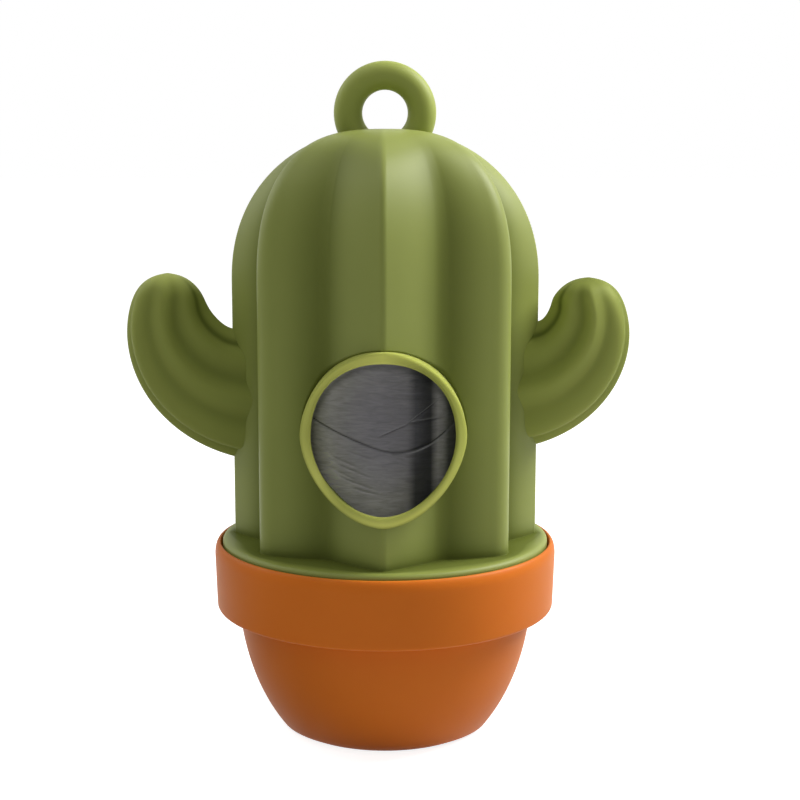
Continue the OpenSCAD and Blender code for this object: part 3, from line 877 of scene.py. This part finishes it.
# Short creases: azimuth and height of both ends, the strength of the painted shade along each, and
# of the painted highlight beside it.
SHORT_CREASES = [
    ((-3, 49.4), (14, 51.5), 1.0, 0.3), ((12, 51.5), (34, 52.1), 0.7, 0.5),
    ((12, 51.3), (31, 55.0), 0.5, 0.6),
    ((-30, 46.4), (-12, 44.6), 0.2, 0.35), ((-27, 45.3), (-6, 43.2), 0.25, 0.35),
    ((-31, 44.7), (-14, 42.7), 0.15, 0.3), ((-24, 43.2), (-4, 41.4), 0.25, 0.4),
    ((-17, 41.6), (0, 40.5), 0.2, 0.35), ((-20, 47.2), (-3, 45.9), 0.15, 0.3),
]
for (from_az, from_z), (to_az, to_z), dark, bright in SHORT_CREASES:
    off = z - from_z - (to_z - from_z) * (az - from_az) / (to_az - from_az)
    shown = smooth_step(az, from_az - 2, from_az + 5) * (1 - smooth_step(az, to_az - 6, to_az + 2))
    film_r = film_r - 0.12 * bell(off, 0.14) * shown
    crease_and_edge_shade = np.maximum(crease_and_edge_shade, dark * bell(off, 0.09) * shown)
    crease_highlight = np.maximum(crease_highlight, bright * bell(off - 0.22, 0.09) * shown)
ripple = 0.018 * np.sin(3.1 * z + 0.045 * az + 1.2 * np.sin(0.09 * az + 0.35 * z))
ripple = ripple + 0.012 * np.sin(5.3 * z - 0.03 * az + 1.5 * np.sin(0.07 * az - 0.5 * z + 1))
patches = 0.5 + 0.5 * np.sin(0.11 * az + 0.23 * z + 2 * np.sin(0.17 * z))
film_r = film_r + ripple * patches
print("outer bag:", film_r.shape[0], "rows of", film_r.shape[1], "points")

# %% Light and shade painted on the film
# Painted light, which lifts the shade in the window: two upright bands over the roll's whole
# height, and a patch in front that grows away from the middle of the window, up and down.
side_bands = (az / 40) ** 2 * (1 - smooth_step(np.abs(az), 40, 54))
front_patch = ((z - WINDOW_Z - 2) / 14) ** 2 * smooth_step(z, 29, 40)
front_patch = front_patch * (1 - smooth_step(np.abs(az), 30, 50))
painted_light = np.clip(side_bands + front_patch, 0, 0.8) ** 1.5
# A thin dark line stands for the shade at the window's edge. It lies where that edge ends
# the view of the film at rest from one place in front, so it is only true from there. It
# is part of the mesh and turns with the roll.
VIEW_DISTANCE = 250
VIEW_SLOPE = 0.18
behind = BODY_R - FILM_R * np.cos(np.radians(az))
seen_x = FILM_R * np.sin(np.radians(az)) * (1 - behind / VIEW_DISTANCE)
seen_up = z - WINDOW_Z + VIEW_SLOPE * behind
seen_angle = np.arctan2(seen_up, seen_x)
from_edge = egg_reach(seen_angle, 0, WINDOW_POWERS) - np.hypot(seen_x, seen_up)
edge_shade = 0.55 * bell(from_edge, 0.6)
edge_shade = edge_shade * smooth_step(np.sin(seen_angle), -0.8, 0.2) * (np.abs(az) < 60)
crease_and_edge_shade = np.maximum(crease_and_edge_shade, edge_shade)
print("points under the edge shade:", int((edge_shade > 0.1).sum()))

# %% Outer bag
film_way = np.stack([np.sin(np.radians(film_az)), -np.cos(np.radians(film_az))], axis=1)
outer_film = np.concatenate([
    film_r[..., None] * film_way, np.broadcast_to(z[..., None], film_r.shape + (1,)),
], axis=2)
inner_film = turned([(FILM_IN_R, ROLL_TOP), (FILM_IN_R, ROLL_FOOT)], film_way)
inner_marks = np.zeros(inner_film.shape[0] * inner_film.shape[1])
film_marks = {
    name: np.concatenate([np.broadcast_to(mark, film_r.shape).ravel(), inner_marks])
    for name, mark in [("crease_and_edge_shade", crease_and_edge_shade), ("crease_highlight", crease_highlight), ("painted_light", painted_light)]
}
film = closed_table("outer_bag", np.concatenate([outer_film, inner_film]), film_marks)
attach(film, "roll")
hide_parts("bag_01")

# %% [markdown]
# ## Colours and nodes
# Colours are sRGB hex values, but the shader works in linear light, so one function
# turns them. Another adds a node with its settings, socket values and links, which keeps
# every material readable as a list.

# %% Tools for materials
def paint(code):
    """A linear RGBA colour from an sRGB hex value such as #6b7a3a."""
    value = np.array([int(code[i:i + 2], 16) for i in (1, 3, 5)]) / 255
    linear = np.where(value <= 0.04045, value / 12.92, ((value + 0.055) / 1.055) ** 2.4)
    return (*linear.tolist(), 1.0)


def add(tree, kind, values=None, links=None, **settings):
    """Adds one node: its own settings, the values of its sockets, and what feeds them.

    A node that feeds a socket does so from its first output.
    """
    made = tree.nodes.new(kind)
    for key, value in settings.items():
        setattr(made, key, value)
    for key, value in (values or {}).items():
        made.inputs[key].default_value = value
    for key, source in (links or {}).items():
        tree.links.new(getattr(source, "outputs", [source])[0], made.inputs[key])
    return made


def new_material(name):
    """An empty material, and the tree that its nodes go into."""
    material = bpy.data.materials.new(name)
    material.use_nodes = True
    tree = material.node_tree
    tree.nodes.clear()
    return material, tree


print("material tools ready")

# %% [markdown]
# ## Silicone
# The cactus, its ring and the pot are silicone rubber, pressed in a fine-blasted steel
# mould. That gives the eye a matte skin with a soft broad sheen, a fine grain, and colour
# that drifts slightly with the pigment. The grain of such a mould is about 0.1 mm, too
# fine for this picture, so it is drawn at 0.35 mm. The loop and arms get a paler copy of
# the green, which is painted light.

# %% Silicone
# Painted shade multiplies the colour by this tint.
DARK_TINT = (0.45, 0.47, 0.42, 1)
GRAIN_BUMP = 0.03


def silicone(name, colour, deep, roughness, gloss):
    """Matte pressed silicone: pigment drifts between two colours over about 12 mm.

    Where the mark of painted shade is 1, the colour falls to less than half and the gloss goes.
    """
    material, tree = new_material(name)
    place = add(tree, "ShaderNodeTexCoord").outputs["Object"]
    drift = add(
        tree, "ShaderNodeTexNoise", {"Scale": 1 / (12 * MM), "Detail": 3.0}, {"Vector": place})
    pigment = add(
        tree, "ShaderNodeMix", {6: paint(colour), 7: paint(deep)}, {0: drift}, data_type="RGBA")
    marked = add(tree, "ShaderNodeAttribute", attribute_name="painted_shade").outputs["Fac"]
    shaded_pigment = add(
        tree, "ShaderNodeMix", {7: DARK_TINT}, {0: marked, 6: pigment.outputs[2]},
        data_type="RGBA", blend_type="MULTIPLY")
    unshaded = add(
        tree, "ShaderNodeMath", {1: -gloss, 2: gloss}, {0: marked}, operation="MULTIPLY_ADD")
    skin = add(
        tree, "ShaderNodeTexNoise", {"Scale": 1 / (0.35 * MM), "Detail": 2.0}, {"Vector": place})
    bump = add(
        tree, "ShaderNodeBump", {"Strength": GRAIN_BUMP, "Distance": 0.1 * MM}, {"Height": skin})
    shader = add(
        tree, "ShaderNodeBsdfPrincipled",
        {
            "Roughness": roughness, "IOR": 1.41, "Subsurface Weight": 0.25,
            "Subsurface Radius": (1.0, 1.0, 0.5), "Subsurface Scale": 1.5 * MM,
        },
        {"Base Color": shaded_pigment.outputs[2], "Normal": bump, "Specular IOR Level": unshaded})
    add(tree, "ShaderNodeOutputMaterial", links={"Surface": shader})
    return material


for pieces, *finish in [
    ([cactus], "silicone_cactus_green", "#8b9448", "#838c42", 0.5, 0.38),
    # The arms and the loop below get paler copies of the green: painted light.
    (arms, "silicone_arm_green", "#9aa351", "#929a4c", 0.62, 0.2),
    ([loop], "silicone_thin_green", "#9da752", "#959f4c", 0.5, 0.3),
    ([ring], "silicone_lime_ring", "#e0e37a", "#d6da72", 0.6, 0.15),
    ([pot], "silicone_terracotta", "#da751b", "#d16d15", 0.5, 0.22),
]:
    moulded = silicone(*finish)
    for piece in pieces:
        piece.data.materials.append(moulded)
    print(finish[0], "on", len(pieces), "piece(s)")

# %% [markdown]
# ## Bag film
# The bags are blown polyethylene film, dyed dark grey. Thin film shines softly. Its
# upright bands of grey round the roll are painted reflection and painted light and
# shade.

# %% Film
# Grey of the film round the roll, from the back over the left, the front and the right. The bands
# are painted reflection and painted light and shade over the film's dark grey.
FILM_BANDS = [
    (0.000, "#807e84"), (0.396, "#88868c"), (0.419, "#9a98a0"), (0.455, "#86848a"),
    (0.500, "#7a787e"), (0.534, "#6c6a6f"), (0.546, "#343438"), (0.570, "#303034"),
    (0.582, "#8a888e"), (0.591, "#828086"), (0.601, "#4c4c50"), (1.000, "#807e84"),
]
# Ripples per metre: about 2.2 mm long round the roll and 0.4 mm high.
FILM_RIPPLES = (450, 450, 2600)


def film_material(name):
    """Blown film: soft gloss, upright bands of painted reflection, light and shade, painted crease
    marks, and fine ripples.
    """
    material, tree = new_material(name)
    place = add(tree, "ShaderNodeTexCoord").outputs["Object"]
    split = add(tree, "ShaderNodeSeparateXYZ", links={"Vector": place})
    minus_y = add(tree, "ShaderNodeMath", {1: -1.0}, {0: split.outputs["Y"]}, operation="MULTIPLY")
    azimuth = add(
        tree, "ShaderNodeMath", links={0: split.outputs["X"], 1: minus_y}, operation="ARCTAN2")
    turn = add(
        tree, "ShaderNodeMapRange", {"From Min": -np.pi, "From Max": np.pi}, {"Value": azimuth})
    bands = add(tree, "ShaderNodeValToRGB", links={"Fac": turn})
    ramp = bands.color_ramp.elements
    while len(ramp) < len(FILM_BANDS):
        ramp.new(0.5)
    for element, (position, code) in zip(ramp, FILM_BANDS):
        element.position = position
        element.color = paint(code)
    stretched = add(tree, "ShaderNodeMapping", {"Scale": FILM_RIPPLES}, {"Vector": place})
    ripples = add(
        tree, "ShaderNodeTexNoise", {"Scale": 1.0, "Detail": 4.0, "Distortion": 0.8},
        {"Vector": stretched})
    streaks = add(
        tree, "ShaderNodeMapRange",
        {"From Min": 0.3, "From Max": 0.7, "To Min": 0.8, "To Max": 1.16},
        {"Value": ripples})
    # Painted light: where its mark is high, the film is made paler.
    lightening = add(tree, "ShaderNodeAttribute", attribute_name="painted_light").outputs["Fac"]
    paler = add(tree, "ShaderNodeMath", {1: 3.1, 2: 1.0}, {0: lightening}, operation="MULTIPLY_ADD")
    gain = add(tree, "ShaderNodeMath", links={0: streaks, 1: paler}, operation="MULTIPLY")
    tone = add(tree, "ShaderNodeVectorMath", links={0: bands, 1: gain}, operation="MULTIPLY")
    tone = tone.outputs[0]
    # A pale painted highlight and a near-black painted shade mix in along the creases and the
    # window's edge.
    for mark, share, colour in [("crease_highlight", 0.7, "#bcbcc0"), ("crease_and_edge_shade", 0.95, "#0c0c0e")]:
        marked = add(tree, "ShaderNodeAttribute", attribute_name=mark).outputs["Fac"]
        amount = add(tree, "ShaderNodeMath", {1: share}, {0: marked}, operation="MULTIPLY")
        tone = add(
            tree, "ShaderNodeMix", {7: paint(colour)}, {0: amount, 6: tone}, data_type="RGBA")
        tone = tone.outputs[2]
    bump = add(
        tree, "ShaderNodeBump", {"Strength": 0.35, "Distance": 0.12 * MM}, {"Height": ripples})
    shader = add(
        tree, "ShaderNodeBsdfPrincipled",
        {"Roughness": 0.4, "IOR": 1.5, "Specular IOR Level": 0.35},
        {"Base Color": tone, "Normal": bump})
    add(tree, "ShaderNodeOutputMaterial", links={"Surface": shader})
    return material


bag_film = film_material("polyethylene_bag_film")
film.data.materials.append(bag_film)
for number in range(2, 16):
    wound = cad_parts[f"bag_{number:02d}"]
    wound.data.materials.clear()
    wound.data.materials.append(bag_film)
print("film on 15 bags")

# %% [markdown]
# ## Cardboard core
# The core is a tube of grey-brown board wound from paper strip. Board shows long flecks
# of fibre, and it is duller and rougher than anything else.

# %% Cardboard
# Flecks per metre: about 1.1 mm wide and 4 mm long.
BOARD_FLECKS = (900, 900, 250)
board, tree = new_material("cardboard_core")
place = add(tree, "ShaderNodeTexCoord").outputs["Object"]
fibre_run = add(tree, "ShaderNodeMapping", {"Scale": BOARD_FLECKS}, {"Vector": place})
fibres = add(tree, "ShaderNodeTexNoise", {"Scale": 1.0, "Detail": 5.0}, {"Vector": fibre_run})
tone = add(
    tree, "ShaderNodeMix", {6: paint("#8f6d47"), 7: paint("#c9a87a")}, {0: fibres},
    data_type="RGBA")
board_bump = add(
    tree, "ShaderNodeBump", {"Strength": 0.3, "Distance": 0.1 * MM}, {"Height": fibres})
board_shader = add(
    tree, "ShaderNodeBsdfPrincipled", {"Roughness": 0.85},
    {"Base Color": tone.outputs[2], "Normal": board_bump})
add(tree, "ShaderNodeOutputMaterial", links={"Surface": board_shader})
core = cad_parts["roll_core"]
core.data.materials.clear()
core.data.materials.append(board)
print("board on the core")

# %% [markdown]
# ## Stage and light
# The dispenser stands on a plain white floor in a white room. One large soft light gives
# the right-hand facets their bright side, two weaker ones lift the rest.

# %% Floor
FLOOR_GLOW = 0.86
FLOOR_HALF = 3.0


def seen_directly(tree):
    """A value of 1 for what the camera sees, also through glass or in a gloss, else 0."""
    rays = add(tree, "ShaderNodeLightPath")
    mirrored = add(
        tree, "ShaderNodeMath",
        links={0: rays.outputs["Is Glossy Ray"], 1: rays.outputs["Is Transmission Ray"]},
        operation="MAXIMUM")
    return add(
        tree, "ShaderNodeMath",
        links={0: rays.outputs["Is Camera Ray"], 1: mirrored}, operation="MAXIMUM")


floor_mesh = bpy.data.meshes.new("floor")
floor_corners = FLOOR_HALF * np.array([(-1, -1, 0), (1, -1, 0), (1, 1, 0), (-1, 1, 0)])
floor_mesh.from_pydata(floor_corners.tolist(), [], [(0, 1, 2, 3)])
floor = new_object("floor", floor_mesh)

floor_paint, tree = new_material("floor_white")
glow_strength = add(
    tree, "ShaderNodeMath", {1: FLOOR_GLOW}, {0: seen_directly(tree)}, operation="MULTIPLY")
matte = add(tree, "ShaderNodeBsdfDiffuse", {"Color": paint("#c0c0c0")})
glow = add(tree, "ShaderNodeEmission", {"Color": (1, 1, 1, 1)}, {"Strength": glow_strength})
both = add(tree, "ShaderNodeAddShader", links={0: matte, 1: glow})
add(tree, "ShaderNodeOutputMaterial", links={"Surface": both})
floor_mesh.materials.append(floor_paint)
print("floor laid")

# %% Room
ROOM_LIGHT = 0.31
world = bpy.data.worlds.new("white_room")
world.use_nodes = True
bpy.context.scene.world = world
tree = world.node_tree
tree.nodes.clear()
strength = add(
    tree, "ShaderNodeMapRange", {"To Min": ROOM_LIGHT, "To Max": 1.0},
    {"Value": seen_directly(tree)})
room = add(tree, "ShaderNodeBackground", {"Color": (1, 1, 1, 1)}, {"Strength": strength})
add(tree, "ShaderNodeOutputWorld", links={"Surface": room})
print("room light", ROOM_LIGHT)

# %% Lamps
CENTRE = np.array([0, 0, 0.06])


def softbox(name, azimuth, elevation, distance, width, height, watts):
    """A rectangular lamp that faces the dispenser from an azimuth and an elevation."""
    a, e = np.radians(azimuth), np.radians(elevation)
    away = np.array([np.sin(a) * np.cos(e), -np.cos(a) * np.cos(e), np.sin(e)])
    data = bpy.data.lights.new(name, "AREA")
    data.shape = "RECTANGLE"
    data.size, data.size_y = width, height
    data.energy = watts
    lamp = new_object(name, data)
    lamp.location = CENTRE + away * distance
    lamp.rotation_euler = (np.radians(90) - e, 0, a)
    return lamp


lamps = [
    softbox("softbox_right", 103, 42, 0.5, 0.2, 0.3, 3.7),
    softbox("softbox_left", -112, 32, 0.5, 0.25, 0.35, 0.6),
    softbox("softbox_top", -60, 64, 0.6, 0.3, 0.3, 0.5),
]
print("lamps:", [lamp.name for lamp in lamps])
